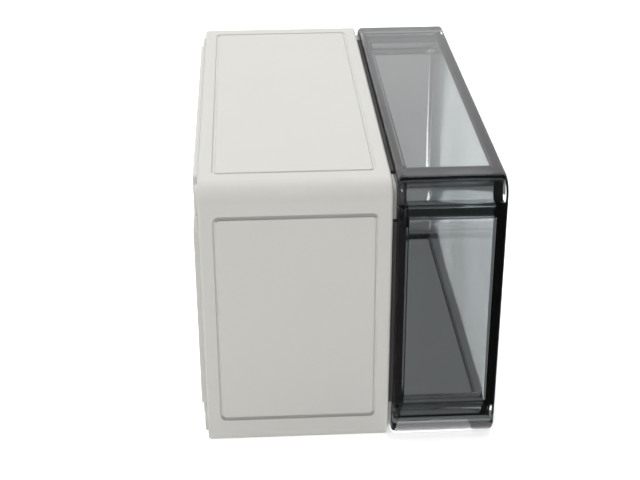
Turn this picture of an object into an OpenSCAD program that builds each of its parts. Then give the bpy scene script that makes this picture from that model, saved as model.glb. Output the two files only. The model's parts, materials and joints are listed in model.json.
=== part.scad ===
// Wall-mount plastic enclosure with a deep smoked lid.
// A grey moulded base carries the lid on a tongue that runs all round its rim.
// A foam seal lies in the lid's groove, and four captive screws hold the lid on.
// The case is drawn lying on its back and is stood on a long side at the end.

/* [Overall size] */

// Long side of the case
case_l = 182; // [150:1:300]

// Short side of the case
case_h = 110; // [80:1:200]

// Radius of the four edges that run from back to front
edge_r = 7; // [5:0.5:10]

/* [Base] */

// Depth of the base from its back edge to its rim
base_d = 69.6; // [40:0.1:120]

// Thickness of the base floor
floor_t = 2.6; // [2:0.1:5]

// Rounding of the outer edge at the rim
base_lip_r = 1.2; // [0.5:0.1:2.4]

// Rounding of the outer edge at the back
back_edge_r = 0.9; // [0.4:0.1:2]

/* [Back of the base] */

// Height of the raised pad that meets the wall
pad_rise = 2; // [1:0.1:4]

// Distance of the pad from the side faces
pad_inset = 3; // [2:0.5:8]

// Square left free at each corner of the pad
pad_notch = 14.5; // [12:0.5:24]

// Rounding of the pad's corners
pad_r = 1.5; // [0.5:0.1:3]

// Radius of the ring round each fixing hole
ring_r = 5.6; // [4:0.1:7]

// Height of that ring
ring_rise = 1.1; // [0.5:0.1:1.9]

// Radius of the wall-fixing holes
fix_r = 2.25; // [1.5:0.05:3]

/* [Side panels] */

// Width of the groove that outlines each panel
groove_w = 1.2; // [0.6:0.1:2]

// Distance of the groove from the back and rim edges
groove_end = 5.6; // [4:0.1:12]

// Distance of the groove from the neighbouring sides
groove_side = 12.3; // [8:0.1:20]

// Bend radius of the groove at the panel corners
groove_bend = 1.8; // [1:0.1:5]

/* [Joint] */

// Open gap between the outer faces of base and lid
joint_gap = 1.6; // [1:0.1:3]

// Distance of the tongue from the outer faces
tongue_in = 2.8; // [2.4:0.1:4]

// Thickness of the tongue
tongue_t = 1.2; // [1:0.1:2]

// Height of the tongue above the rim
tongue_h = 3.1; // [2:0.1:5]

// Distance of the raised corner lands from the outer faces
land_in = 3.4; // [3:0.1:5]

// Width of the foam beside the tongue
foam_side = 0.4; // [0.3:0.1:1]

// Depth of the seal groove in the lid
seal_groove_d = 3.4; // [2.5:0.1:5]

// Clearance between pieces that are put together
clear = 0.05; // [0.02:0.01:0.1]

/* [Lid] */

// Depth of the lid from its rim to its front
lid_d = 39.8; // [15:0.1:80]

// Thickness of the lid's side walls
lid_wall = 3; // [2:0.1:4]

// Thickness of the lid's front
lid_front = 3.4; // [2:0.1:5]

// Rounding of the lid's outer edge at the rim
lid_lip_r = 2; // [0.5:0.1:2.2]

// Rounding of the lid's outer edge at the front
front_edge_r = 1.4; // [0.5:0.1:3]

// Fillet where the side walls meet the front
front_fillet = 1.5; // [0.5:0.1:3]

// Thickness of the web above the seal groove
web_t = 1; // [0.8:0.1:2]

// Thickness of the groove's inner lip
lip_t = 1.1; // [0.8:0.1:2]

/* [Screw wells] */

// Distance of the screw axes from the outer faces
screw_in = 8.5; // [8:0.1:12]

// Inner radius of the wells in the lid
well_r = 4.3; // [4.1:0.1:5.4]

// Outer radius of the bosses round the wells
boss_r = 6.2; // [5.4:0.1:7]

// Distance of a boss's feet on the side walls from the screw axis
boss_foot = 7.2; // [6.4:0.1:9]

// Radius of the seats where the bosses stand on the base
seat_r = 7.4; // [6.4:0.1:8.2]

// Plastic left between a seat and the seal groove
seat_rib = 0.3; // [0.2:0.1:1]

// Chamfer round the mouth of a well
mouth_chamfer = 0.5; // [0.2:0.1:1]

// Floor thickness of the wells
well_floor = 1.1; // [0.8:0.1:3]

// Radius of the screw channels in the base
channel_r = 3.8; // [3:0.1:5]

/* [Lid screws] */

// Head radius
head_r = 4; // [3.4:0.1:4.2]

// Head height
head_h = 1.8; // [1.2:0.1:4]

// Chamfer on the head's upper edge
head_chamfer = 0.3; // [0.1:0.1:0.5]

// Radius of the plain neck that turns in the lid
neck_r = 2.6; // [2:0.1:3.2]

// Play of the neck in the lid, and of the lid on the corner lands
neck_gap = 0.1; // [0.02:0.01:0.1]

// Radius of the thread's outside
thread_r = 3.7; // [2.5:0.1:4.8]

// Length of the threaded end below the lid
thread_l = 15; // [8:0.5:25]

// Length of the tapered tip
tip_l = 2; // [1:0.5:4]

// Width of the driver slot
slot_w = 1.4; // [1:0.1:2]

// Depth of the driver slot
slot_d = 0.9; // [0.5:0.1:1.1]

/* [Plate domes] */

// Radius of the domes on the floor
dome_r = 3.8; // [3:0.1:6]

// Height of the domes above the floor
dome_h = 9; // [4:0.5:20]

// Radius of the bores in the domes
dome_bore_r = 1.6; // [1:0.1:2.5]

// Spacing of the domes along the long side
dome_pitch_l = 62; // [40:1:70]

// Spacing of the two rows of domes
dome_pitch_h = 60; // [30:1:76]

/* [Hidden] */

$fn = 64;
over = 1;
case_d = pad_rise + base_d + joint_gap + lid_d;
rim_z = pad_rise + base_d;
lid_z = rim_z + joint_gap;
floor_z = pad_rise + floor_t;
screw_x = case_l / 2 - screw_in;
screw_y = case_h / 2 - screw_in;

// Radii of the joint where it passes round the screw posts
groove_out_r = seat_r + seat_rib;
tongue_out_r = groove_out_r + foam_side + clear;
post_r = tongue_out_r + tongue_t;
groove_in_r = post_r + foam_side + clear;
lip_in_r = groove_in_r + lip_t;

// Distances of the joint from the outer faces along the sides
base_wall = tongue_in + tongue_t;
groove_out = tongue_in - foam_side - clear;
groove_in = base_wall + foam_side + clear;
lip_in = groove_in + lip_t;

tongue_z = rim_z + tongue_h;
shelf_z = lid_z + seal_groove_d;
front_z = case_d - lid_front;
web_z = shelf_z + web_t;
head_z = lid_z + well_floor + clear;

// Where the flat sides of a boss leave the walls and meet its round part
boss_wall = screw_in - lid_wall;
boss_turn = atan2(boss_foot, boss_wall) + acos(boss_r / norm([boss_foot, boss_wall]));
boss_near = boss_r * cos(boss_turn);
boss_far = boss_r * sin(boss_turn);

// One row per corner: signs of x and y, and the turn that brings a corner shape there
CORNERS = [[1, 1, 0], [-1, 1, 90], [-1, -1, 180], [1, -1, 270]];

// Puts a shape drawn for the corner of positive x and y at one screw axis
module at_corner(c)
    translate([c[0] * screw_x, c[1] * screw_y, 0])
        rotate([0, 0, c[2]])
            children();

module at_corners()
    for (c = CORNERS)
        at_corner(c)
            children();

// Stands the case on its long side, with the lid's front towards positive x
module stand()
    translate([-case_d / 2, 0, case_h / 2])
        rotate([90, 0, 90])
            children();

module rounded(a, b, r) {
    square([a, b - 2 * r], center = true);
    square([a - 2 * r, b], center = true);
    for (sx = [-1, 1], sy = [-1, 1])
        translate([sx * (a / 2 - r), sy * (b / 2 - r)])
            circle(r);
}

// The case outline, moved in from the outer faces
module outline(inset)
    rounded(case_l - 2 * inset, case_h - 2 * inset, edge_r - inset > 1 ? edge_r - inset : 1);

// The block round a screw axis, which fills the corner out to the side faces
module post(r) {
    circle(r);
    translate([0, -r])
        square([screw_in + over, r + screw_in + over]);
    translate([-r, 0])
        square([r + screw_in + over, screw_in + over]);
}

// The room inside walls of one thickness, with the screw posts left out
module inner(inset, r)
    difference() {
        outline(inset);
        at_corners()
            post(r);
    }

module slab(z, h)
    translate([0, 0, z])
        linear_extrude(height = h)
            children();

module edge_profile(r)
    difference() {
        square([r + over, r + over]);
        circle(r);
    }

// Section of a fillet in the corner between a wall and a front that lies above it
module fillet_profile(r)
    difference() {
        translate([-over, -r])
            square([r + over, r + over]);
        translate([r, -r])
            circle(r);
    }

// What a rounding takes off the outer edge that lies at z = 0
module edge_round(r) {
    run_l = case_l - 2 * edge_r;
    run_h = case_h - 2 * edge_r;
    for (s = [0, 1]) {
        mirror([0, s, 0])
            translate([-run_l / 2, case_h / 2 - r, -r])
                rotate([90, 0, 90])
                    linear_extrude(height = run_l)
                        edge_profile(r);
        mirror([s, 0, 0])
            translate([case_l / 2 - r, run_h / 2, -r])
                rotate([90, 0, 0])
                    linear_extrude(height = run_h)
                        edge_profile(r);
    }
    for (c = CORNERS)
        translate([c[0] * run_l / 2, c[1] * run_h / 2, -r])
            rotate([0, 0, c[2]])
                rotate_extrude(angle = 90)
                    translate([edge_r - r, 0])
                        edge_profile(r);
}

// A round-bottomed groove along a rectangle with bent corners
module groove_ring(a, b) {
    r = groove_w / 2;
    run_a = a - 2 * groove_bend;
    run_b = b - 2 * groove_bend;
    for (s = [-1, 1]) {
        translate([-run_a / 2, s * b / 2, 0])
            rotate([0, 90, 0])
                cylinder(h = run_a, r = r);
        translate([s * a / 2, run_b / 2, 0])
            rotate([90, 0, 0])
                cylinder(h = run_b, r = r);
    }
    for (c = CORNERS)
        translate([c[0] * run_a / 2, c[1] * run_b / 2, 0])
            rotate([0, 0, c[2]])
                rotate_extrude(angle = 90)
                    translate([groove_bend, 0])
                        circle(r);
}

module panel_grooves() {
    deep = base_d - 2 * groove_end;
    mid_z = pad_rise + base_d / 2;
    for (s = [-1, 1]) {
        translate([0, s * case_h / 2, mid_z])
            rotate([90, 0, 0])
                groove_ring(case_l - 2 * groove_side, deep);
        translate([s * case_l / 2, 0, mid_z])
            rotate([90, 0, 90])
                groove_ring(case_h - 2 * groove_side, deep);
    }
}

// Cross-shaped pad that leaves a square free round each fixing hole
module back_pad() {
    far = pad_inset + pad_notch;
    slab(0, pad_rise) {
        rounded(case_l - 2 * pad_inset, case_h - 2 * far, pad_r);
        rounded(case_l - 2 * far, case_h - 2 * pad_inset, pad_r);
    }
    at_corners()
        slab(pad_rise - ring_rise, ring_rise)
            circle(ring_r);
}

module at_domes()
    for (x = [-dome_pitch_l, 0, dome_pitch_l], s = [-1, 1])
        translate([x, s * dome_pitch_h / 2, 0])
            children();

module base_shell()
    difference() {
        slab(pad_rise, base_d)
            outline(0);
        translate([0, 0, rim_z])
            edge_round(base_lip_r);
        translate([0, 0, pad_rise])
            mirror([0, 0, 1])
                edge_round(back_edge_r);
        slab(floor_z, base_d)
            inner(base_wall, post_r);
    }

module tongue()
    slab(rim_z - over, tongue_h + over)
        difference() {
            inner(tongue_in, tongue_out_r);
            inner(base_wall, post_r);
        }

// Raised seats that carry the lid's corners
module corner_lands()
    slab(rim_z - over, over + joint_gap - neck_gap)
        intersection() {
            outline(land_in);
            at_corners()
                post(seat_r);
        }

module base()
    color([0.75, 0.75, 0.73])
        stand()
            difference() {
                union() {
                    base_shell();
                    tongue();
                    corner_lands();
                    back_pad();
                    at_domes()
                        slab(floor_z - over / 2, dome_h + over / 2)
                            circle(dome_r);
                }
                panel_grooves();
                at_corners() {
                    slab(floor_z, case_d)
                        circle(channel_r);
                    slab(-over, case_d)
                        circle(fix_r);
                }
                at_domes()
                    slab(floor_z, case_d)
                        circle(dome_bore_r);
            }

// Fillets that lead the side walls into the lid's front
module lid_fillets()
    for (s = [0, 1]) {
        mirror([0, s, 0])
            translate([-screw_x, lid_wall - case_h / 2, front_z])
                rotate([90, 0, 90])
                    linear_extrude(height = 2 * screw_x)
                        fillet_profile(front_fillet);
        mirror([s, 0, 0])
            translate([lid_wall - case_l / 2, screw_y, front_z])
                rotate([90, 0, 0])
                    linear_extrude(height = 2 * screw_y)
                        fillet_profile(front_fillet);
    }

// Boss round a well, with flat sides that run to feet on the two walls of the corner
module boss() {
    wall = boss_wall + over;
    circle(boss_r);
    polygon([
        [wall, wall],
        [-boss_foot, wall],
        [-boss_foot, boss_wall],
        [-boss_far, boss_near],
        [0, 0],
        [boss_near, -boss_far],
        [boss_wall, -boss_foot],
        [wall, -boss_foot],
    ]);
}

// The lid's room, between the side walls and round the bosses
module lid_room()
    difference() {
        slab(web_z, front_z - web_z)
            difference() {
                outline(lid_wall);
                at_corners()
                    boss();
            }
        lid_fillets();
    }

// Well for a screw, with the hole for its neck through the floor
module screw_well() {
    slab(lid_z + well_floor, lid_d)
        circle(well_r);
    slab(lid_z - over, lid_d)
        circle(neck_r + neck_gap);
    translate([0, 0, case_d - mouth_chamfer])
        cylinder(h = 2 * mouth_chamfer, r1 = well_r, r2 = well_r + 2 * mouth_chamfer);
}

// The wall, the rim with its seal groove, and the four corner wells in one moulding
module lid()
    color([0.2, 0.21, 0.22, 0.6])
        stand()
            difference() {
                slab(lid_z, lid_d)
                    outline(0);
                translate([0, 0, lid_z])
                    mirror([0, 0, 1])
                        edge_round(lid_lip_r);
                translate([0, 0, case_d])
                    edge_round(front_edge_r);
                slab(lid_z - over, over + web_z - lid_z)
                    inner(lip_in, lip_in_r);
                slab(lid_z - over, over + seal_groove_d)
                    difference() {
                        inner(groove_out, groove_out_r);
                        inner(groove_in, groove_in_r);
                    }
                lid_room();
                at_corners()
                    screw_well();
            }

// Foam strip in the lid's groove, pressed in where the tongue meets it
// Its outer side reaches down to the base's rim and closes the joint
module seal()
    color([0.05, 0.05, 0.05])
        stand()
            difference() {
                slab(rim_z + clear, shelf_z - rim_z - 2 * clear)
                    inner(groove_out + clear, groove_out_r + clear);
                slab(rim_z, tongue_h + clear)
                    inner(tongue_in - clear, tongue_out_r - clear);
                slab(rim_z, case_d)
                    inner(groove_in - clear, groove_in_r - clear);
            }

// Captive screw: slotted head in the well, neck through its floor, thread in the channel
module screw_body()
    difference() {
        union() {
            translate([0, 0, head_z])
                cylinder(h = head_h - head_chamfer, r = head_r);
            translate([0, 0, head_z + head_h - head_chamfer])
                cylinder(h = head_chamfer, r1 = head_r, r2 = head_r - head_chamfer);
            translate([0, 0, lid_z - over])
                cylinder(h = head_z - lid_z + 2 * over, r = neck_r);
            translate([0, 0, lid_z - neck_gap - thread_l])
                cylinder(h = thread_l, r = thread_r);
            translate([0, 0, lid_z - neck_gap - thread_l - tip_l])
                cylinder(h = tip_l, r1 = thread_r - tip_l / 2, r2 = thread_r);
        }
        translate([-head_r - over, -slot_w / 2, head_z + head_h - slot_d])
            cube([2 * (head_r + over), slot_w, slot_d + over]);
    }

module lid_screw(i)
    color([0.72, 0.72, 0.7])
        stand()
            at_corner(CORNERS[i])
                screw_body();

base();
lid();
seal();
lid_screw(0);  // lid_screw_1
lid_screw(1);  // lid_screw_2
lid_screw(2);  // lid_screw_3
lid_screw(3);  // lid_screw_4
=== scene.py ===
"""Looks of a wall-mount plastic enclosure: a grey moulded base under a deep smoked lid.

The pieces are drawn lying on their back, in millimetres: x along the long side, y along the short side and
z away from the wall. Each one is then stood up and brought to metres, in the place of the packed part.
"""
import json
import math
from contextlib import contextmanager

import bmesh
import bpy
from bpy.props import FloatProperty, FloatVectorProperty, PointerProperty
from mathutils import Euler, Matrix, Vector


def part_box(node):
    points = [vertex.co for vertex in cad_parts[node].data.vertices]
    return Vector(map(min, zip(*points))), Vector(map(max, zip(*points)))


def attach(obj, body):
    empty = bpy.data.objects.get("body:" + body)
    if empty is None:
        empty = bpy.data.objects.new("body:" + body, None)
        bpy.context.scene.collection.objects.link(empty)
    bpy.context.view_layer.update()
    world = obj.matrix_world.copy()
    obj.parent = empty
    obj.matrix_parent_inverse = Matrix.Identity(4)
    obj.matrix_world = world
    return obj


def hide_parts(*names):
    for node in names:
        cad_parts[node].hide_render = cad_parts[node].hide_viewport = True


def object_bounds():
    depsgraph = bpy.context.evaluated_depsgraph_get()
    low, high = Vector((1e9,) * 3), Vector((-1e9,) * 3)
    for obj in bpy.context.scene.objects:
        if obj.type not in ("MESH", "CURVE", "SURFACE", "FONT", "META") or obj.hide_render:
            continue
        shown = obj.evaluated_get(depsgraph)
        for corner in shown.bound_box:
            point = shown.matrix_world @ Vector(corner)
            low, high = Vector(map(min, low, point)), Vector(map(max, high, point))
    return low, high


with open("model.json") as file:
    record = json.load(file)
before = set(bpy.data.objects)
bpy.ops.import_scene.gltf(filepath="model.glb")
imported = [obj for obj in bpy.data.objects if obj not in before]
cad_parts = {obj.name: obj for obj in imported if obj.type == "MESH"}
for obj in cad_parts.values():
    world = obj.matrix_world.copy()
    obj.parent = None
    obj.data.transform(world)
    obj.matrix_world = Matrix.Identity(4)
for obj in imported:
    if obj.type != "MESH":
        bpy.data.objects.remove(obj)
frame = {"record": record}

bl_info = {
    "name": "Wall enclosure with a smoked lid",
    "version": (1, 0, 0),
    "blender": (4, 5, 0),
    "location": "3D View > Sidebar > Enclosure",
    "description": "Models the base, lid, seal and lid screws of a plastic enclosure on its packed part",
    "category": "Object",
}

# Millimetres in a metre, how far a cutting solid reaches past what it cuts, and what counts as one place
MM = 1000.0
OVER = 1.0
NEAR = 1e-3

# How finely the round forms are drawn
CORNER_STEPS = 12
EDGE_STEPS = 6
ROUND_STEPS = 48
BAR_STEPS = 4
THREAD_ROWS = 10

# Shares of a thread's pitch that its crest and each flank take up
THREAD_CREST = 0.25
THREAD_FLANK = 0.25

# Faces that turn less than the first angle are one face, less than the second are shaded smooth, and edges
# that turn more than the third are softened
FLAT_ANGLE = math.radians(0.5)
SMOOTH_ANGLE = math.radians(40)
SOFT_ANGLE = math.radians(42)

# A slanted line, along which hardly any two points of a piece lie level
SLANT = Vector((1.0, 0.61803, 0.41421))

# Middle of a noise's range, and height of the moulded grain in metres
NOISE_MIDDLE = 0.5
GRAIN_HEIGHT = 0.0001

# Side of the studio's floor and its distance below the case, in metres, and the tones of the papers
FLOOR_SIDE = 8.0
FLOOR_GAP = 0.0003
PAPER_TONE = 0.8
SHEET_TONE = 0.02

CASE_LOW, CASE_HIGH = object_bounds()
SEAL_LOW, SEAL_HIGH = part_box("seal")
SCREW_LOW, SCREW_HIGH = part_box("lid_screw_1")

STAND = (
    Matrix.Translation((CASE_LOW.x, 0, (CASE_LOW.z + CASE_HIGH.z) / 2))
    @ Euler((math.pi / 2, 0, math.pi / 2)).to_matrix().to_4x4()
    @ Matrix.Scale(1 / MM, 4)
)

# Signs of x and y of each corner, in the order of the screws' numbers, and the turn that brings a shape there
CORNERS = ((1, 1, 0), (-1, 1, 90), (-1, -1, 180), (1, -1, 270))


def depth(x):
    """Distance from the wall of a place in the frame, in millimetres."""
    return (x - CASE_LOW.x) * MM


CASE_L = (CASE_HIGH.y - CASE_LOW.y) * MM
CASE_H = (CASE_HIGH.z - CASE_LOW.z) * MM
CASE_D = depth(CASE_HIGH.x)
LID_RIM = depth(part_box("lid")[0].x)
TONGUE_TOP = depth(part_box("base")[1].x)
SCREW_X = (SCREW_LOW.y + SCREW_HIGH.y) / 2 * MM
SCREW_Y = (SCREW_LOW.z + SCREW_HIGH.z - CASE_LOW.z - CASE_HIGH.z) / 2 * MM
HEAD_R = (SCREW_HIGH.y - SCREW_LOW.y) / 2 * MM
HEAD_TOP = depth(SCREW_HIGH.x)
SCREW_TIP = depth(SCREW_LOW.x)


def length(name, description, millimetres):
    """A size that the user may change, kept in metres."""
    return FloatProperty(
        name=name,
        description=description,
        default=millimetres / MM,
        min=0,
        precision=5,
        subtype="DISTANCE",
        unit="LENGTH",
    )


def angle(name, description, degrees):
    """An angle that the user may change, kept in radians."""
    return FloatProperty(name=name, description=description, default=math.radians(degrees), subtype="ANGLE")


def fraction(name, description, value):
    """A share of the whole that the user may change."""
    return FloatProperty(name=name, description=description, default=value, min=0, max=1, subtype="FACTOR")


def power(name, description, watts):
    """A lamp's power that the user may change."""
    return FloatProperty(name=name, description=description, default=watts, min=0, unit="POWER")


def colour(name, description, value):
    """A colour that the user may change."""
    return FloatVectorProperty(
        name=name, description=description, default=value, size=3, min=0, max=1, subtype="COLOR"
    )


class BaseSizes(bpy.types.PropertyGroup):
    """Sizes of the grey base."""

    edge_round: length("Side edges", "Radius of the four edges from back to front", 7.0)
    rim_depth: length("Rim", "Distance of the rim from the wall", 71.6)
    rim_round: length("Rim rounding", "Radius of the outer edge at the rim", 1.2)
    back_round: length("Back rounding", "Radius of the outer edge at the back", 0.9)
    wall: length("Wall", "Thickness of the side walls", 4.0)
    floor: length("Floor", "Thickness of the floor", 2.6)
    pad_rise: length("Pad height", "Height of the raised pad that meets the wall", 2.0)
    pad_inset: length("Pad inset", "Distance of the pad from the side faces", 3.0)
    pad_notch: length("Pad notch", "Square left free at each corner of the pad", 14.5)
    pad_round: length("Pad corners", "Radius of the pad's corners", 1.5)
    ring_radius: length("Ring radius", "Radius of the ring round a fixing hole", 5.6)
    ring_rise: length("Ring height", "Height of the ring round a fixing hole", 1.1)
    fixing_radius: length("Fixing hole", "Radius of a wall-fixing hole", 2.25)
    groove_width: length("Groove width", "Width of the groove round a side panel", 1.2)
    groove_end: length("Groove to ends", "Distance of the groove from the back and rim edges", 5.6)
    groove_side: length("Groove to sides", "Distance of the groove from the neighbouring sides", 12.3)
    groove_bend: length("Groove bend", "Bend radius of the groove at a panel corner", 1.8)
    tongue_inset: length("Tongue inset", "Distance of the tongue from the outer faces", 2.8)
    land_inset: length("Land inset", "Distance of the corner lands from the outer faces", 3.4)
    land_gap: length("Land gap", "Distance of the corner lands below the lid's rim", 0.1)
    post_radius: length("Post radius", "Radius of the walls round the screw posts", 9.35)
    channel_radius: length("Channel radius", "Radius of the screw channels", 3.8)
    dome_radius: length("Dome radius", "Radius of the domes on the floor", 3.8)
    dome_height: length("Dome height", "Height of the domes above the floor", 9.0)
    dome_bore: length("Dome bore", "Radius of the bores in the domes", 1.6)
    dome_pitch: length("Dome pitch", "Spacing of the domes along the long side", 62.0)
    dome_rows: length("Dome rows", "Spacing of the two rows of domes", 60.0)
    soft_edge: length("Soft edges", "Width of the small rounding on every other edge", 0.2)


class LidSizes(bpy.types.PropertyGroup):
    """Sizes of the smoked lid and of the foam seal in its groove."""

    wall: length("Wall", "Thickness of the side walls", 3.0)
    front: length("Front", "Thickness of the front", 3.4)
    rim_round: length("Rim rounding", "Radius of the outer edge at the rim", 2.0)
    front_round: length("Front rounding", "Radius of the outer edge at the front", 1.4)
    fillet: length("Inner fillet", "Radius where walls and wells meet the front", 1.5)
    groove_depth: length("Groove depth", "Depth of the seal groove in the rim", 3.4)
    groove_out: length("Groove outer side", "Distance of the seal groove from the outer faces", 2.35)
    groove_in: length("Groove inner side", "Distance of the groove's inner side from the outer faces", 4.45)
    lip: length("Lip", "Thickness of the lip inside the seal groove", 1.1)
    web: length("Web", "Thickness of the web above the seal groove", 1.0)
    well_radius: length("Well radius", "Inner radius of the screw wells", 4.3)
    boss_radius: length("Boss radius", "Outer radius of the bosses round the wells", 6.2)
    boss_foot: length("Boss foot", "Distance of a boss's feet on the walls from its screw axis", 7.2)
    seat_radius: length("Seat radius", "Radius of the seats where the bosses stand on the base", 7.4)
    seat_rib: length("Seat rib", "Plastic left between a seat and the seal groove", 0.3)
    well_floor: length("Well floor", "Thickness of the wells' floor", 1.1)
    mouth_chamfer: length("Well mouth", "Chamfer round the mouth of a well", 0.5)
    neck_hole: length("Neck hole", "Radius of the hole for a screw's neck", 2.7)
    foam_gap: length("Foam gap", "Distance of the foam from the groove and the tongue", 0.05)
    soft_edge: length("Soft edges", "Width of the small rounding on every other edge", 0.2)


class ScrewSizes(bpy.types.PropertyGroup):
    """Sizes of the captive lid screws."""

    head_height: length("Head height", "Height of the head", 1.8)
    head_chamfer: length("Head chamfer", "Chamfer on the head's upper edge", 0.3)
    neck_radius: length("Neck radius", "Radius of the plain neck", 2.6)
    thread_radius: length("Thread radius", "Radius of the thread's crests", 3.7)
    thread_depth: length("Thread depth", "Depth of the thread", 0.6)
    thread_pitch: length("Thread pitch", "Distance from crest to crest", 2.2)
    thread_gap: length("Thread gap", "Distance of the thread below the lid's rim", 0.1)
    tip: length("Tip", "Length of the tapered tip", 2.0)
    slot_width: length("Slot width", "Width of the driver slot", 1.4)
    slot_depth: length("Slot depth", "Depth of the driver slot", 0.9)


class Finishes(bpy.types.PropertyGroup):
    """Colours of the plastics and the foam."""

    grey: colour("Base grey", "Colour of the moulded base", (0.48, 0.475, 0.45))
    smoke: colour("Smoke tint", "Colour that the smoked plastic lets through", (0.0, 0.09, 0.11))
    foam: colour("Foam", "Colour of the foam seal", (0.05, 0.05, 0.05))
    screw: colour("Screw", "Colour of the lid screws", (0.46, 0.455, 0.43))
    smoke_density: FloatProperty(
        name="Smoke density",
        description="How strongly the smoked plastic darkens light, for each metre of it",
        default=95,
        min=0,
    )
    # Shares of painted shade in the base's grooves that run from back to front, on the ends and on the long
    # sides
    end_groove_shade: fraction("Dust on the ends", "Share of grey lost to dust in the grooves of the ends", 0.36)
    side_groove_shade: fraction("Dust on the sides", "Share of grey lost to dust in the long sides' grooves", 0.12)


class Studio(bpy.types.PropertyGroup):
    """Strength of the studio's light."""

    room: FloatProperty(name="Room", description="Strength of the light all round", default=0.15, min=0)
    overhead: power("Overhead softbox", "Power of the light above the case", 28.0)
    front: power("Front softbox", "Power of the light at the front left", 24.5)


class CameraPlace(bpy.types.PropertyGroup):
    """Where the camera stands and how it looks at the case."""

    place: FloatVectorProperty(
        name="Place",
        description="Place of the camera",
        default=(-0.03471, -0.51505, 0.30507),
        size=3,
        subtype="TRANSLATION",
    )
    azimuth: angle("Azimuth", "Turn of the view to the right of the long side", 3.178)
    fall: angle("Fall", "Fall of the view below the horizon", 27.03)
    roll: angle("Roll", "Roll of the camera about its view", -0.162)
    lens: FloatProperty(name="Lens", description="Focal length of the lens", default=74.665, unit="CAMERA")


class InMillimetres:
    """A group of sizes, read in the unit that the pieces are drawn in."""

    def __init__(self, group):
        self.group = group

    def __getattr__(self, name):
        return getattr(self.group, name) * MM


# Selecting and editing


def activate(obj):
    """Makes one object the only selected one and the active one."""
    bpy.ops.object.select_all(action="DESELECT")
    obj.select_set(True)
    bpy.context.view_layer.objects.active = obj


@contextmanager
def editing(obj):
    """Edit mode on one object."""
    activate(obj)
    bpy.ops.object.mode_set(mode="EDIT")
    yield obj
    bpy.ops.object.mode_set(mode="OBJECT")


def pick(obj, kind, test):
    """Selects the vertices, edges or faces that pass a test, and nothing else."""
    bpy.ops.mesh.select_all(action="DESELECT")
    bpy.ops.mesh.select_mode(type=kind)
    shape = bmesh.from_edit_mesh(obj.data)
    items = {"VERT": shape.verts, "EDGE": shape.edges, "FACE": shape.faces}[kind]
    found = [item for item in items if test(item)]
    if not found:
        raise RuntimeError(f"nothing on {obj.name} passes the test")
    for item in found:
        item.select_set(True)
    shape.select_flush_mode()
    bmesh.update_edit_mesh(obj.data)


def middle(item):
    """Middle of an edge or a face."""
    return sum((v.co for v in item.verts), Vector()) / len(item.verts)


def level(z):
    """A test for what lies flat at one depth."""
    return lambda item: all(abs(v.co.z - z) < NEAR for v in item.verts)


def upright(edge):
    """A test for the edges that run from back to front."""
    a, b = (v.co for v in edge.verts)
    return (a.xy - b.xy).length < NEAR


def place_and_apply(obj):
    """Moves an object's place, turn and scale into its mesh."""
    activate(obj)
    bpy.ops.object.transform_apply(location=True, rotation=True, scale=True)
    return obj


def apply_modifier(obj, kind, **settings):
    """Adds one modifier with its settings and applies it."""
    activate(obj)
    modifier = obj.modifiers.new(kind.lower(), kind)
    for name, value in settings.items():
        setattr(modifier, name, value)
    bpy.ops.object.modifier_apply(modifier=modifier.name)


def combine(obj, operation, *others):
    """Adds other solids to a solid or cuts them from it, and removes them."""
    for other in others:
        apply_modifier(obj, "BOOLEAN", operation=operation, solver="EXACT", object=other)
        bpy.data.meshes.remove(other.data)
    return obj


def cut(obj, *others):
    """Cuts other solids from a solid."""
    return combine(obj, "DIFFERENCE", *others)


def unite(obj, *others):
    """Adds other solids to a solid."""
    return combine(obj, "UNION", *others)


# Solids that the pieces are made from


def block(name, sizes, middle_point):
    """A cube brought to its sizes."""
    bpy.ops.object.select_all(action="DESELECT")
    bpy.ops.mesh.primitive_cube_add(size=1, location=middle_point)
    obj = bpy.context.object
    obj.name = name
    obj.scale = sizes
    return place_and_apply(obj)


def peg(name, radius, low, high, x=0.0, y=0.0, steps=ROUND_STEPS):
    """A round bar between two depths."""
    bpy.ops.object.select_all(action="DESELECT")
    bpy.ops.mesh.primitive_cylinder_add(
        vertices=steps, radius=radius, depth=high - low, location=(x, y, (low + high) / 2)
    )
    obj = bpy.context.object
    obj.name = name
    return place_and_apply(obj)


def rounded_block(name, inset, corner, low, high, low_round=0.0, high_round=0.0):
    """A block with the case's outline, moved in from the outer faces, with rounded edges."""
    sizes = (CASE_L - 2 * inset, CASE_H - 2 * inset, high - low)
    obj = block(name, sizes, (0, 0, (low + high) / 2))
    with editing(obj):
        pick(obj, "EDGE", upright)
        bpy.ops.mesh.bevel(offset=corner, segments=CORNER_STEPS, affect="EDGES")
        for z, radius in ((low, low_round), (high, high_round)):
            if radius:
                pick(obj, "EDGE", level(z))
                bpy.ops.mesh.bevel(offset=radius, segments=EDGE_STEPS, affect="EDGES")
    return obj


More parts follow.
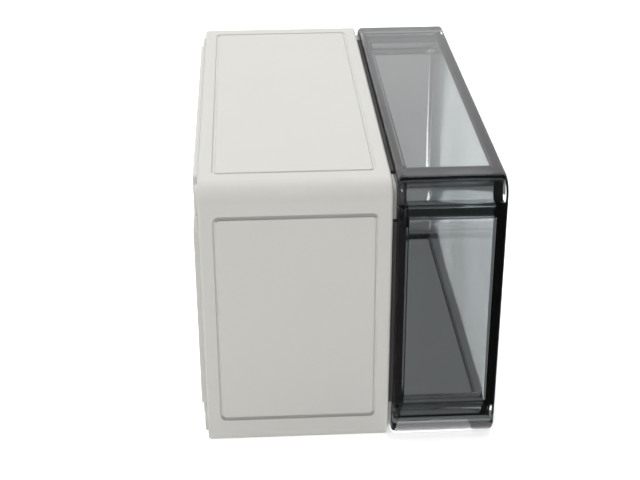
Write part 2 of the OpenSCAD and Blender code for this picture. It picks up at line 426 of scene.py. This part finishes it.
def cross_prism(name, inset, post_radius, low, high):
    """A prism with the plan of the room inside: straight sides, and a round post left out at each corner."""
    half = Vector((CASE_L / 2 - inset, CASE_H / 2 - inset))
    neck = Vector((SCREW_X - post_radius, SCREW_Y - post_radius))
    bpy.ops.object.select_all(action="DESELECT")
    bpy.ops.mesh.primitive_plane_add(size=2, location=(0, 0, low))
    obj = bpy.context.object
    obj.name = name
    obj.scale = (neck.x, neck.y, 1)
    place_and_apply(obj)
    with editing(obj):
        for axis in (0, 1):
            for side in (1, -1):
                start = Vector((0, 0, low))
                start[axis] = side * neck[axis]
                reach = Vector((0, 0, 0))
                reach[axis] = side * (half[axis] - neck[axis])
                pick(obj, "EDGE", lambda edge: (middle(edge) - start).length < NEAR)
                bpy.ops.mesh.extrude_edges_move(TRANSFORM_OT_translate={"value": reach})
        bpy.ops.mesh.select_all(action="SELECT")
        bpy.ops.mesh.dissolve_faces()
        pick(obj, "VERT", lambda vert: (Vector([abs(v) for v in vert.co.xy]) - neck).length < NEAR)
        bpy.ops.mesh.bevel(offset=post_radius, segments=CORNER_STEPS, affect="VERTICES")
        bpy.ops.mesh.select_all(action="SELECT")
        bpy.ops.mesh.extrude_region_move(TRANSFORM_OT_translate={"value": (0, 0, high - low)})
        bpy.ops.mesh.select_all(action="SELECT")
        bpy.ops.mesh.normals_make_consistent(inside=False)
    return obj


def prism(name, outline, low, high):
    """A prism with an outline given by its corners."""
    bpy.ops.object.select_all(action="DESELECT")
    bpy.ops.mesh.primitive_circle_add(vertices=len(outline), fill_type="NGON", location=(0, 0, low))
    obj = bpy.context.object
    obj.name = name
    place_and_apply(obj)
    with editing(obj):
        for vert, corner in zip(bmesh.from_edit_mesh(obj.data).verts, outline):
            vert.co.xy = corner
        bmesh.update_edit_mesh(obj.data)
        bpy.ops.mesh.select_all(action="SELECT")
        bpy.ops.mesh.extrude_region_move(TRANSFORM_OT_translate={"value": (0, 0, high - low)})
        bpy.ops.mesh.select_all(action="SELECT")
        bpy.ops.mesh.normals_make_consistent(inside=False)
    return obj


def countersunk_peg(name, radius, low, high, chamfer):
    """A round bar whose upper end widens past a chamfer."""
    obj = peg(name, radius, low, high)
    wide = (radius + chamfer + OVER) / radius

    def inner_rim(edge):
        return level(high)(edge) and all(v.co.xy.length < radius + NEAR for v in edge.verts)

    with editing(obj):
        pick(obj, "FACE", level(high))
        bpy.ops.mesh.extrude_region_move()
        bpy.ops.transform.resize(value=(wide, wide, 1))
        bpy.ops.mesh.extrude_region_move(TRANSFORM_OT_translate={"value": (0, 0, chamfer + OVER)})
        pick(obj, "EDGE", inner_rim)
        bpy.ops.mesh.bevel(offset=chamfer, segments=1, affect="EDGES")
    return obj


def groove_ring(name, a, b, bend, width):
    """A round bar bent into a rectangle, which cuts a groove round a side panel."""
    bpy.ops.object.select_all(action="DESELECT")
    bpy.ops.mesh.primitive_plane_add(size=1)
    obj = bpy.context.object
    obj.name = name
    obj.scale = (a, b, 1)
    place_and_apply(obj)
    with editing(obj):
        bpy.ops.mesh.select_all(action="SELECT")
        bpy.ops.mesh.bevel(offset=bend, segments=EDGE_STEPS, affect="VERTICES")
        bpy.ops.mesh.select_all(action="SELECT")
        bpy.ops.mesh.delete(type="ONLY_FACE")
    bpy.ops.object.convert(target="CURVE")
    obj.data.dimensions = "3D"
    obj.data.bevel_depth = width / 2
    obj.data.bevel_resolution = BAR_STEPS
    bpy.ops.object.convert(target="MESH")
    return obj


def copy_to(obj, place, turn=(0, 0, 0)):
    """A copy with a mesh of its own, moved and turned."""
    twin = obj.copy()
    twin.data = obj.data.copy()
    bpy.context.collection.objects.link(twin)
    twin.location = place
    twin.rotation_euler = turn
    return place_and_apply(twin)


def gather(objs):
    """Joins objects that don't touch into one."""
    activate(objs[0])
    for obj in objs[1:]:
        obj.select_set(True)
    bpy.ops.object.join()
    return bpy.context.object


def corner_copy(obj, corner):
    """A copy of a shape drawn round the origin, at the screw axis of one corner."""
    sx, sy, turn = corner
    return copy_to(obj, (sx * SCREW_X, sy * SCREW_Y, 0), (0, 0, math.radians(turn)))


def at_corners(obj):
    """Copies of a shape drawn round the origin at the four screw axes, joined."""
    twins = [corner_copy(obj, corner) for corner in CORNERS]
    bpy.data.meshes.remove(obj.data)
    return gather(twins)


def tongue_turn(base):
    """Radius of the tongue's line round a screw axis."""
    return base.post_radius - base.wall + base.tongue_inset


def groove_turns(lid):
    """Radii of the seal groove's outer and inner sides round a screw axis."""
    outer = lid.seat_radius + lid.seat_rib
    return outer, outer + lid.groove_in - lid.groove_out


# Finishing a piece


def put_in_order(obj):
    """Sorts a mesh by place along a slanted line, because the cuts leave it in another order each time."""
    shape = bmesh.from_edit_mesh(obj.data)
    shape.verts.sort(key=lambda vert: vert.co.dot(SLANT))
    shape.edges.sort(key=lambda edge: middle(edge).dot(SLANT))
    shape.faces.sort(key=lambda face: middle(face).dot(SLANT))
    bmesh.update_edit_mesh(obj.data)


def soften(obj, width):
    """A small rounding on every sharp edge."""
    with editing(obj):
        put_in_order(obj)
        bpy.ops.mesh.select_all(action="SELECT")
        bpy.ops.mesh.remove_doubles(threshold=NEAR)
        bpy.ops.mesh.dissolve_limited(angle_limit=FLAT_ANGLE, use_dissolve_boundaries=False)
        put_in_order(obj)
    apply_modifier(
        obj,
        "BEVEL",
        width=width,
        segments=2,
        limit_method="ANGLE",
        angle_limit=SOFT_ANGLE,
        use_clamp_overlap=True,
        miter_outer="MITER_ARC",
    )


def stand(obj):
    """Stands a piece up in its place in the frame and smooths its curved faces."""
    obj.matrix_world = STAND
    place_and_apply(obj)
    bpy.ops.object.shade_smooth_by_angle(angle=SMOOTH_ANGLE)
    apply_modifier(obj, "WEIGHTED_NORMAL", keep_sharp=True, weight=50)
    return obj


def hand_over(obj, node, material):
    """Gives a finished piece its material and its body, and hides the node that it stands for."""
    body = next(name for name, nodes in frame["record"]["behaviour"]["bodies"].items() if node in nodes)
    obj.data.materials.clear()
    obj.data.materials.append(material)
    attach(obj, body)
    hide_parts(node)


# Materials


def new_group(name, inputs, outputs):
    """An empty shader node group with named sockets."""
    group = bpy.data.node_groups.new(name, "ShaderNodeTree")
    for socket, kind, value in inputs:
        group.interface.new_socket(socket, in_out="INPUT", socket_type=kind).default_value = value
    for socket, kind in outputs:
        group.interface.new_socket(socket, in_out="OUTPUT", socket_type=kind)
    return group


def add_node(tree, kind, links=None, **values):
    """Adds a node, with its properties or input values and the sockets that feed it."""
    node = tree.nodes.new(kind)
    for name, value in values.items():
        if hasattr(node, name):
            setattr(node, name, value)
        else:
            node.inputs[name.replace("_", " ")].default_value = value
    for socket, source in (links or {}).items():
        tree.links.new(source, node.inputs[socket])
    return node


def calculate(tree, operation, *terms):
    """The result of a maths node, whose terms are sockets or plain numbers."""
    node = add_node(tree, "ShaderNodeMath", operation=operation)
    for place, term in zip(node.inputs, terms):
        if isinstance(term, bpy.types.NodeSocket):
            tree.links.new(term, place)
        else:
            place.default_value = term
    return node.outputs[0]


def grain_group():
    """Fine moulded grain: a colour that varies a little and loses a share to painted shade, a roughness and a
    height.
    """
    name = "moulded_grain"
    if name in bpy.data.node_groups:
        return bpy.data.node_groups[name]
    group = new_group(
        name,
        [
            ("Colour", "NodeSocketColor", (0.5, 0.5, 0.5, 1)),
            ("Cloud", "NodeSocketFloat", 0.02),
            ("Grain size", "NodeSocketFloat", 2500.0),
            ("Roughness", "NodeSocketFloat", 0.5),
            ("Roughness spread", "NodeSocketFloat", 0.1),
            ("Dust", "NodeSocketFloat", 0.0),
        ],
        [("Colour", "NodeSocketColor"), ("Roughness", "NodeSocketFloat"), ("Height", "NodeSocketFloat")],
    )
    given = group.nodes.new("NodeGroupInput").outputs
    where = add_node(group, "ShaderNodeTexCoord").outputs["Object"]
    cloud = add_node(group, "ShaderNodeTexNoise", {"Vector": where}, Scale=45.0, Detail=3.0)
    grain = add_node(group, "ShaderNodeTexNoise", {"Vector": where, "Scale": given["Grain size"]}, Detail=2.0)
    swing = calculate(group, "SUBTRACT", cloud.outputs["Fac"], NOISE_MIDDLE)
    gain = calculate(group, "MULTIPLY_ADD", swing, given["Cloud"], 1.0)
    # Painted shade: the colour loses the share given to the group where a groove is marked
    shaded_gain = calculate(group, "SUBTRACT", gain, given["Dust"])
    tone = add_node(group, "ShaderNodeVectorMath", {0: given["Colour"]}, operation="SCALE")
    group.links.new(shaded_gain, tone.inputs["Scale"])
    spread = calculate(group, "SUBTRACT", grain.outputs["Fac"], NOISE_MIDDLE)
    rough = calculate(group, "MULTIPLY_ADD", spread, given["Roughness spread"], given["Roughness"])
    out = group.nodes.new("NodeGroupOutput").inputs
    group.links.new(tone.outputs[0], out["Colour"])
    group.links.new(rough, out["Roughness"])
    group.links.new(grain.outputs["Fac"], out["Height"])
    return group


def grained_plastic(name, tone, cloud, grain, roughness, spread, bump):
    """A moulded plastic with fine grain."""
    material = bpy.data.materials.new(name)
    material.use_nodes = True
    tree = material.node_tree
    shader = tree.nodes["Principled BSDF"]
    source = add_node(tree, "ShaderNodeGroup", node_tree=grain_group())
    source.name = "grain"
    source.inputs["Colour"].default_value = (*tone, 1)
    source.inputs["Cloud"].default_value = cloud
    source.inputs["Grain size"].default_value = grain
    source.inputs["Roughness"].default_value = roughness
    source.inputs["Roughness spread"].default_value = spread
    height = {"Height": source.outputs["Height"]}
    bumps = add_node(tree, "ShaderNodeBump", height, Strength=bump, Distance=GRAIN_HEIGHT)
    tree.links.new(source.outputs["Colour"], shader.inputs["Base Color"])
    tree.links.new(source.outputs["Roughness"], shader.inputs["Roughness"])
    tree.links.new(bumps.outputs["Normal"], shader.inputs["Normal"])
    return material


def groove_shaded_plastic(finishes):
    """The base's grey plastic, darkened by painted shade where the mesh marks its grooves."""
    material = grained_plastic(
        "grey_plastic", finishes.grey, cloud=0.03, grain=2600, roughness=0.5, spread=0.16, bump=0.12
    )
    tree = material.node_tree
    # The mesh attribute that marks the grooves for painted shade
    dust = add_node(tree, "ShaderNodeAttribute", attribute_name="dust")
    tree.links.new(dust.outputs["Fac"], tree.nodes["grain"].inputs["Dust"])
    return material


def glowing_paper(name, tone, glow):
    """Matt paper that glows."""
    material = grained_plastic(
        name, (tone, tone, tone), cloud=0.01, grain=900, roughness=0.9, spread=0.05, bump=0.02
    )
    shader = material.node_tree.nodes["Principled BSDF"]
    shader.inputs["Emission Color"].default_value = (1, 1, 1, 1)
    shader.inputs["Emission Strength"].default_value = glow
    return material


def smoked_plastic(finishes):
    """Polished see-through plastic that darkens with its thickness."""
    material = bpy.data.materials.new("smoked_plastic")
    material.use_nodes = True
    tree = material.node_tree
    shader = tree.nodes["Principled BSDF"]
    shader.inputs["Base Color"].default_value = (1, 1, 1, 1)
    shader.inputs["Transmission Weight"].default_value = 1.0
    shader.inputs["IOR"].default_value = 1.49
    where = add_node(tree, "ShaderNodeTexCoord").outputs["Object"]
    haze = add_node(tree, "ShaderNodeTexNoise", {"Vector": where}, Scale=60.0, Detail=4.0)
    rough = add_node(tree, "ShaderNodeMapRange", {"Value": haze.outputs["Fac"]})
    rough.inputs["To Min"].default_value = 0.015
    rough.inputs["To Max"].default_value = 0.045
    tree.links.new(rough.outputs["Result"], shader.inputs["Roughness"])
    ripple = add_node(tree, "ShaderNodeTexNoise", {"Vector": where}, Scale=16.0, Detail=0.0)
    bumps = add_node(tree, "ShaderNodeBump", {"Height": ripple.outputs["Fac"]}, Strength=0.09, Distance=0.006)
    tree.links.new(bumps.outputs["Normal"], shader.inputs["Normal"])
    smoke = add_node(tree, "ShaderNodeVolumeAbsorption", Density=finishes.smoke_density)
    smoke.inputs["Color"].default_value = (*finishes.smoke, 1)
    tree.links.new(smoke.outputs["Volume"], tree.nodes["Material Output"].inputs["Volume"])
    return material


# The pieces


class ENCLOSURE_OT_base(bpy.types.Operator):
    """Models the grey base with its pad, posts, tongue, domes and panel grooves"""

    bl_idname = "enclosure.base"
    bl_label = "Grey base"

    def execute(self, context):
        s = InMillimetres(context.scene.enclosure_base)
        lid = InMillimetres(context.scene.enclosure_lid)
        finishes = context.scene.enclosure_finishes
        floor_top = s.pad_rise + s.floor
        dome_top = floor_top + s.dome_height
        base = rounded_block(
            "base_moulding", 0, s.edge_round, s.pad_rise, s.rim_depth, s.back_round, s.rim_round
        )
        unite(base, *self.back(s), *self.joint(s, lid))
        cut(base, cross_prism("room", s.wall, s.post_radius, floor_top, TONGUE_TOP + OVER))
        unite(base, self.at_domes(s, peg("dome", s.dome_radius, floor_top - s.floor / 2, dome_top)))
        cut(
            base,
            self.at_domes(s, peg("bore", s.dome_bore, floor_top, dome_top + OVER)),
            at_corners(peg("channel", s.channel_radius, floor_top, CASE_D)),
            at_corners(peg("fixing", s.fixing_radius, -OVER, CASE_D)),
            *self.grooves(s),
        )
        soften(base, s.soft_edge)
        # Paints shade into the grooves that run from back to front
        self.paint_groove_shade(base, s, finishes)
        stand(base)
        hand_over(base, "base", groove_shaded_plastic(finishes))
        return {"FINISHED"}

    def back(self, s):
        """The cross-shaped pad and the rings round the fixing holes."""
        far = s.pad_inset + s.pad_notch
        high = s.pad_rise + s.floor / 2
        arms = []
        for inset_x, inset_y in ((s.pad_inset, far), (far, s.pad_inset)):
            sizes = (CASE_L - 2 * inset_x, CASE_H - 2 * inset_y, high)
            arm = block("pad", sizes, (0, 0, high / 2))
            with editing(arm):
                pick(arm, "EDGE", upright)
                bpy.ops.mesh.bevel(offset=s.pad_round, segments=EDGE_STEPS, affect="EDGES")
            arms.append(arm)
        ring = peg("ring", s.ring_radius, s.pad_rise - s.ring_rise, high)
        return [*arms, at_corners(ring)]

    def joint(self, s, lid):
        """The tongue round the rim and the lands that carry the lid at the corners."""
        low = s.rim_depth - OVER
        tongue = cross_prism("tongue", s.tongue_inset, tongue_turn(s), low, TONGUE_TOP)
        radius = lid.seat_radius
        reach = CASE_L / 2 - s.land_inset - SCREW_X
        width = radius + reach
        centre = (reach - radius) / 2
        high = LID_RIM - s.land_gap
        land = block("land", (width, width, high - low), (centre, centre, (low + high) / 2))
        with editing(land):
            pick(land, "EDGE", lambda edge: upright(edge) and sum(middle(edge).xy) < -radius)
            bpy.ops.mesh.bevel(offset=radius, segments=CORNER_STEPS, affect="EDGES")
            pick(land, "EDGE", lambda edge: upright(edge) and sum(middle(edge).xy) > 2 * reach - NEAR)
            bpy.ops.mesh.bevel(offset=s.edge_round - s.land_inset, segments=CORNER_STEPS, affect="EDGES")
        return [tongue, at_corners(land)]

    def at_domes(self, s, obj):
        """Copies of a shape at the six domes on the floor."""
        places = [(i * s.dome_pitch, side * s.dome_rows / 2, 0) for i in (-1, 0, 1) for side in (-1, 1)]
        twins = [copy_to(obj, place) for place in places]
        bpy.data.meshes.remove(obj.data)
        return gather(twins)

    def grooves(self, s):
        """The bent bars that cut the groove of each side panel."""
        deep = s.rim_depth - s.pad_rise - 2 * s.groove_end
        mid = (s.rim_depth + s.pad_rise) / 2
        bars = []
        for span, reach, turn in ((CASE_L, CASE_H / 2, 0), (CASE_H, CASE_L / 2, math.pi / 2)):
            bar = groove_ring("groove", span - 2 * s.groove_side, deep, s.groove_bend, s.groove_width)
            for side in (1, -1):
                out = Vector((0, side * reach, mid)) if turn == 0 else Vector((side * reach, 0, mid))
                bars.append(copy_to(bar, out, (math.pi / 2, 0, turn)))
            bpy.data.meshes.remove(bar.data)
        return bars

    def paint_groove_shade(self, base, s, finishes):
        """Marks the grooves that run from back to front for painted shade, the shade that falls in them."""
        low, high = s.pad_rise + s.groove_end, s.rim_depth - s.groove_end
        mark = base.data.attributes.new("dust", "FLOAT", "FACE")

        def in_groove(below_face, from_edge):
            return NEAR < below_face < s.groove_width and abs(from_edge - s.groove_side) < s.groove_width

        for face in base.data.polygons:
            if not low < face.center.z < high:
                continue
            from_end = CASE_L / 2 - abs(face.center.x)
            from_side = CASE_H / 2 - abs(face.center.y)
            if in_groove(from_end, from_side):
                mark.data[face.index].value = finishes.end_groove_shade
            elif in_groove(from_side, from_end):
                mark.data[face.index].value = finishes.side_groove_shade


class ENCLOSURE_OT_lid(bpy.types.Operator):
    """Models the smoked lid with its screw wells, seal groove and inner fillets"""

    bl_idname = "enclosure.lid"
    bl_label = "Smoked lid"

    def execute(self, context):
        s = InMillimetres(context.scene.enclosure_lid)
        base = InMillimetres(context.scene.enclosure_base)
        front = CASE_D - s.front
        shelf = LID_RIM + s.groove_depth
        web = shelf + s.web
        lid = rounded_block("lid_moulding", 0, base.edge_round, LID_RIM, CASE_D, s.rim_round, s.front_round)
        room = rounded_block("room", s.wall, base.edge_round - s.wall, web, front, 0, s.fillet)
        cut(room, at_corners(prism("boss", self.boss_outline(s), web - OVER, front + OVER)))
        outer_r, inner_r = groove_turns(s)
        mouth = cross_prism("mouth", s.groove_in + s.lip, inner_r + s.lip, LID_RIM - OVER, web + OVER / 2)
        groove = cross_prism("groove", s.groove_out, outer_r, LID_RIM - OVER, shelf)
        cut(groove, cross_prism("lip", s.groove_in, inner_r, LID_RIM - 2 * OVER, shelf + OVER))
        well = countersunk_peg("well", s.well_radius, LID_RIM + s.well_floor, CASE_D, s.mouth_chamfer)
        neck = peg("neck", s.neck_hole, LID_RIM - OVER, LID_RIM + s.well_floor + OVER)
        cut(lid, room, mouth, groove, at_corners(well), at_corners(neck))
        soften(lid, s.soft_edge)
        stand(lid)
        hand_over(lid, "lid", smoked_plastic(context.scene.enclosure_finishes))
        return {"FINISHED"}

    def boss_outline(self, s):
        """A round wall with flat sides that run to feet on the two outer walls."""
        wall = CASE_L / 2 - SCREW_X - s.wall
        away = math.atan2(s.boss_foot, wall) + math.acos(s.boss_radius / math.hypot(s.boss_foot, wall))
        turns = [-away - (math.pi * 1.5 - 2 * away) * i / CORNER_STEPS for i in range(CORNER_STEPS + 1)]
        arc = [(s.boss_radius * math.cos(turn), s.boss_radius * math.sin(turn)) for turn in turns]
        end = [(-s.boss_foot, wall), (-s.boss_foot, wall + OVER), (wall + OVER, wall + OVER)]
        return arc + end + [(wall + OVER, -s.boss_foot), (wall, -s.boss_foot)]


class ENCLOSURE_OT_seal(bpy.types.Operator):
    """Models the foam seal in the lid's groove, with the step that the tongue presses into it"""

    bl_idname = "enclosure.seal"
    bl_label = "Foam seal"

    def execute(self, context):
        s = InMillimetres(context.scene.enclosure_lid)
        base = InMillimetres(context.scene.enclosure_base)
        low, high = depth(SEAL_LOW.x), depth(SEAL_HIGH.x)
        outer_r, inner_r = groove_turns(s)
        tongue_r = tongue_turn(base)
        gap = s.foam_gap
        seal = cross_prism("foam_seal", s.groove_out + gap, outer_r + gap, low, high)
        cut(seal, cross_prism("inner", s.groove_in - gap, inner_r - gap, low - OVER, high + OVER))
        cut(seal, cross_prism("step", base.tongue_inset - gap, tongue_r - gap, low - OVER, TONGUE_TOP + gap))
        stand(seal)
        finishes = context.scene.enclosure_finishes
        foam = grained_plastic(
            "black_foam", finishes.foam, cloud=0.5, grain=1600, roughness=0.9, spread=0.1, bump=0.8
        )
        hand_over(seal, "seal", foam)
        return {"FINISHED"}


class ENCLOSURE_OT_screws(bpy.types.Operator):
    """Models one captive screw with its slotted head and thread, and copies it to the four corners"""

    bl_idname = "enclosure.screws"
    bl_label = "Lid screws"

    def execute(self, context):
        s = InMillimetres(context.scene.enclosure_screws)
        finishes = context.scene.enclosure_finishes
        material = grained_plastic(
            "screw_plastic", finishes.screw, cloud=0.1, grain=3000, roughness=0.42, spread=0.15, bump=0.08
        )
        first = self.screw(s)
        for number, corner in enumerate(CORNERS, 1):
            screw = corner_copy(first, corner)
            screw.name = f"captive_screw_{number}"
            stand(screw)
            hand_over(screw, f"lid_screw_{number}", material)
        bpy.data.meshes.remove(first.data)
        return {"FINISHED"}

    def screw(self, s):
        """One screw round the origin, from its head down to its tip."""
        head_low = HEAD_TOP - s.head_height
        thread_top = LID_RIM - s.thread_gap
        root = s.thread_radius - s.thread_depth
        obj = peg("screw", HEAD_R, head_low, HEAD_TOP)
        with editing(obj):
            pick(obj, "EDGE", level(HEAD_TOP))
            bpy.ops.mesh.bevel(offset=s.head_chamfer, segments=1, affect="EDGES")
            self.step_down(obj, head_low, s.neck_radius / HEAD_R, thread_top)
            self.step_down(obj, thread_top, root / s.neck_radius, SCREW_TIP + s.tip)
            pick(obj, "EDGE", lambda edge: upright(edge) and middle(edge).z < thread_top)
            rows = round((thread_top - SCREW_TIP - s.tip) / s.thread_pitch * THREAD_ROWS)
            bpy.ops.mesh.subdivide(number_cuts=rows)
            self.step_down(obj, SCREW_TIP + s.tip, 1, SCREW_TIP, (s.thread_radius - s.tip / 2) / root)
            self.shape_thread(obj, s, SCREW_TIP + s.tip, thread_top, root)
        slot = block("slot", (3 * HEAD_R, s.slot_width, 2 * s.slot_depth), (0, 0, HEAD_TOP))
        cut(obj, slot)
        return obj

    def step_down(self, obj, z, first_scale, end_z, end_scale=1.0):
        """Narrows or widens the lower end at one depth and draws it down to another."""
        pick(obj, "FACE", level(z))
        if first_scale != 1:
            bpy.ops.mesh.extrude_region_move()
            bpy.ops.transform.resize(value=(first_scale, first_scale, 1))
        bpy.ops.mesh.extrude_region_move(TRANSFORM_OT_translate={"value": (0, 0, end_z - z)})
        if end_scale != 1:
            bpy.ops.transform.resize(value=(end_scale, end_scale, 1))

    def shape_thread(self, obj, s, low, high, root):
        """Raises the ridge of the thread round the shaft, running out at both ends."""
        shape = bmesh.from_edit_mesh(obj.data)
        for vert in shape.verts:
            if not low - NEAR < vert.co.z < high + NEAR or abs(vert.co.xy.length - root) > NEAR:
                continue
            turn = math.atan2(vert.co.y, vert.co.x) / (2 * math.pi)
            phase = ((vert.co.z - low) / s.thread_pitch - turn) % 1
            ridge = min(max((THREAD_CREST / 2 + THREAD_FLANK - abs(phase - 0.5)) / THREAD_FLANK, 0), 1)
            run_out = min((vert.co.z - low) / s.thread_pitch, (high - vert.co.z) / s.thread_pitch, 1)
            vert.co.xy *= 1 + ridge * run_out * s.thread_depth / root
        bmesh.update_edit_mesh(obj.data)


# The studio


def oblong(left, right, near, far):
    """Corners of a rectangle on the floor."""
    return ((left, near), (right, near), (right, far), (left, far))


class ENCLOSURE_OT_stage(bpy.types.Operator):
    """Sets up the pale floor, the soft light and the camera"""

    bl_idname = "enclosure.stage"
    bl_label = "Studio and camera"

    def execute(self, context):
        self.floor(context)
        self.light(context)
        self.sheets(context)
        self.backdrop(context)
        self.surround(context)
        self.camera(context)
        return {"FINISHED"}

    def dress(self, obj, name, tone, glow, *hidden):
        """Gives a floor, wall or sheet its name and paper, and hides it from some kinds of light rays."""
        obj.name = name
        obj.data.materials.append(glowing_paper(f"{name}_paper", tone, glow))
        for kind in hidden:
            setattr(obj, f"visible_{kind}", False)

    def floor(self, context):
        """A wide pale floor. In its place the lid shows the sheets that lie on it."""
        bpy.ops.object.select_all(action="DESELECT")
        bpy.ops.mesh.primitive_plane_add(size=FLOOR_SIDE, location=(0, 0, -FLOOR_GAP))
        self.dress(context.object, "studio_floor", PAPER_TONE, 0.55, "glossy", "transmission")

    def light(self, context):
        """A dim room with one softbox overhead and one at the front left."""
        studio = context.scene.enclosure_studio
        world = bpy.data.worlds.new("studio")
        context.scene.world = world
        world.use_nodes = True
        room = world.node_tree.nodes["Background"]
        room.inputs["Color"].default_value = (1, 1, 1, 1)
        room.inputs["Strength"].default_value = studio.room
        overhead = self.softbox(context, "overhead_softbox", (-0.1, 0.4, 1.4), (1.6, 1.4), studio.overhead)
        overhead.visible_glossy = False
        self.softbox(context, "front_softbox", (-0.9, -1.6, 1.3), (1.4, 0.7), studio.front)
        context.scene.view_settings.view_transform = "Standard"

    def softbox(self, context, name, place, sizes, watts):
        """A rectangular soft light that looks at the case."""
        bpy.ops.object.light_add(type="AREA", location=place)
        lamp = context.object
        lamp.name = name
        lamp.data.shape = "RECTANGLE"
        lamp.data.size, lamp.data.size_y = sizes
        lamp.data.energy = watts
        lamp.visible_transmission = False
        lamp.rotation_euler = (-Vector(place)).to_track_quat("-Z", "Y").to_euler()
        return lamp

    def backdrop(self, context):
        """A white glowing wall far behind the case, for the lid to mirror."""
        bpy.ops.object.select_all(action="DESELECT")
        bpy.ops.mesh.primitive_plane_add(size=1, location=(0, 2.0, 0.5))
        wall = context.object
        wall.rotation_euler = (math.pi / 2, 0, 0)
        wall.scale = (8, 5, 1)
        place_and_apply(wall)
        self.dress(wall, "backdrop", PAPER_TONE, 0.6, "diffuse", "transmission", "shadow")

    def surround(self, context):
        """A white ring round the floor, which only the camera sees."""
        bpy.ops.object.select_all(action="DESELECT")
        bpy.ops.mesh.primitive_cylinder_add(
            vertices=96, radius=1.2, depth=4, end_fill_type="NOTHING", location=(0, 0, 1.9)
        )
        ring = place_and_apply(context.object)
        self.dress(ring, "surround", PAPER_TONE, 1.0, "diffuse", "glossy", "transmission", "shadow")

    def sheets(self, context):
        """Glowing sheets that only show in the lid, for the lit and shaded parts of the floor."""
        x, near, far = CASE_HIGH.x, CASE_LOW.y, CASE_HIGH.y
        wide = 3.0
        start = far + 0.009
        low, mid, high = (-FLOOR_GAP * share for share in (0.9, 0.6, 0.3))
        back = ((-0.4, start), (x - 0.004, start), (x + 0.086, start + 0.6), (-0.4, start + 0.6))
        side = ((x + 0.004, near), (x + 0.005, near), (x + 0.042, start), (x + 0.005, start))
        past = ((x + 0.007, start), (x + 0.05, start), (x + 0.05, far + 0.285), (x + 0.049, far + 0.272))
        lip = oblong(x - 0.04, x - 0.008, near - 0.012, near + 0.01)
        tip = oblong(x - 0.008, x + 0.004, near - 0.012, near + 0.01)
        self.sheet("grey_sheet", oblong(-wide, wide, -wide, wide), low, 0.24)
        self.sheet("dark_sheet", oblong(-wide, wide, -wide, near - 0.01), mid, 0.05)
        self.sheet("back_sheet", back, mid, 0.4)
        self.sheet("light_sheet", side, high, 1.75)
        self.sheet("far_sheet", past, high, 2.6)
        self.sheet("lip_sheet", lip, high, 4.4, "transmission")
        self.sheet("tip_sheet", tip, high, 2.1, "transmission")

    def sheet(self, name, corners, z, glow, *hidden):
        """One sheet whose four corners, taken round it, lie at given places of the floor."""
        bpy.ops.object.select_all(action="DESELECT")
        bpy.ops.mesh.primitive_plane_add(size=1)
        sheet = bpy.context.object
        a, b, c, d = corners
        with editing(sheet):
            for vert, place in zip(bmesh.from_edit_mesh(sheet.data).verts, (a, b, d, c)):
                vert.co = (*place, z)
            bmesh.update_edit_mesh(sheet.data)
        self.dress(sheet, name, SHEET_TONE, glow, "camera", "diffuse", "shadow", *hidden)

    def camera(self, context):
        """The camera at the photo's viewing angle."""
        view = context.scene.enclosure_camera
        level_ahead = Vector((math.sin(view.azimuth), math.cos(view.azimuth), 0))
        ahead = level_ahead * math.cos(view.fall) - Vector((0, 0, math.sin(view.fall)))
        right = Vector((math.cos(view.azimuth), -math.sin(view.azimuth), 0))
        up = right.cross(ahead)
        side = right * math.cos(view.roll) + up * math.sin(view.roll)
        top = up * math.cos(view.roll) - right * math.sin(view.roll)
        bpy.ops.object.camera_add(location=view.place)
        camera = context.object
        camera.name = "photo_camera"
        camera.rotation_euler = Matrix((side, top, -ahead)).transposed().to_euler()
        camera.data.lens = view.lens
        camera.data.clip_start = 0.01
        context.scene.camera = camera


class ENCLOSURE_PT_panel(bpy.types.Panel):
    """Lists the enclosure's pieces, sizes and finishes"""

    bl_idname = "ENCLOSURE_PT_panel"
    bl_label = "Enclosure"
    bl_space_type = "VIEW_3D"
    bl_region_type = "UI"
    bl_category = "Enclosure"

    def draw(self, context):
        for operator in OPERATORS:
            self.layout.operator(operator.bl_idname)
        for name, group in GROUPS.items():
            box = self.layout.box()
            box.label(text=group.__doc__)
            for prop in group.__annotations__:
                box.prop(getattr(context.scene, name), prop)


OPERATORS = (ENCLOSURE_OT_base, ENCLOSURE_OT_lid, ENCLOSURE_OT_seal, ENCLOSURE_OT_screws, ENCLOSURE_OT_stage)
GROUPS = {
    "enclosure_base": BaseSizes,
    "enclosure_lid": LidSizes,
    "enclosure_screws": ScrewSizes,
    "enclosure_finishes": Finishes,
    "enclosure_studio": Studio,
    "enclosure_camera": CameraPlace,
}


def register():
    """Makes the sizes, pieces and panel known to Blender."""
    for cls in (*GROUPS.values(), *OPERATORS, ENCLOSURE_PT_panel):
        bpy.utils.register_class(cls)
    for name, group in GROUPS.items():
        setattr(bpy.types.Scene, name, PointerProperty(type=group))


def unregister():
    """Takes them out again, in the opposite order."""
    for name in GROUPS:
        delattr(bpy.types.Scene, name)
    for cls in (ENCLOSURE_PT_panel, *OPERATORS, *GROUPS.values()):
        bpy.utils.unregister_class(cls)


def main():
    """Builds every piece and the studio."""
    register()
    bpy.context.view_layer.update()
    bpy.ops.enclosure.base()
    bpy.ops.enclosure.lid()
    bpy.ops.enclosure.seal()
    bpy.ops.enclosure.screws()
    bpy.ops.enclosure.stage()


if __name__ == "__main__":
    main()
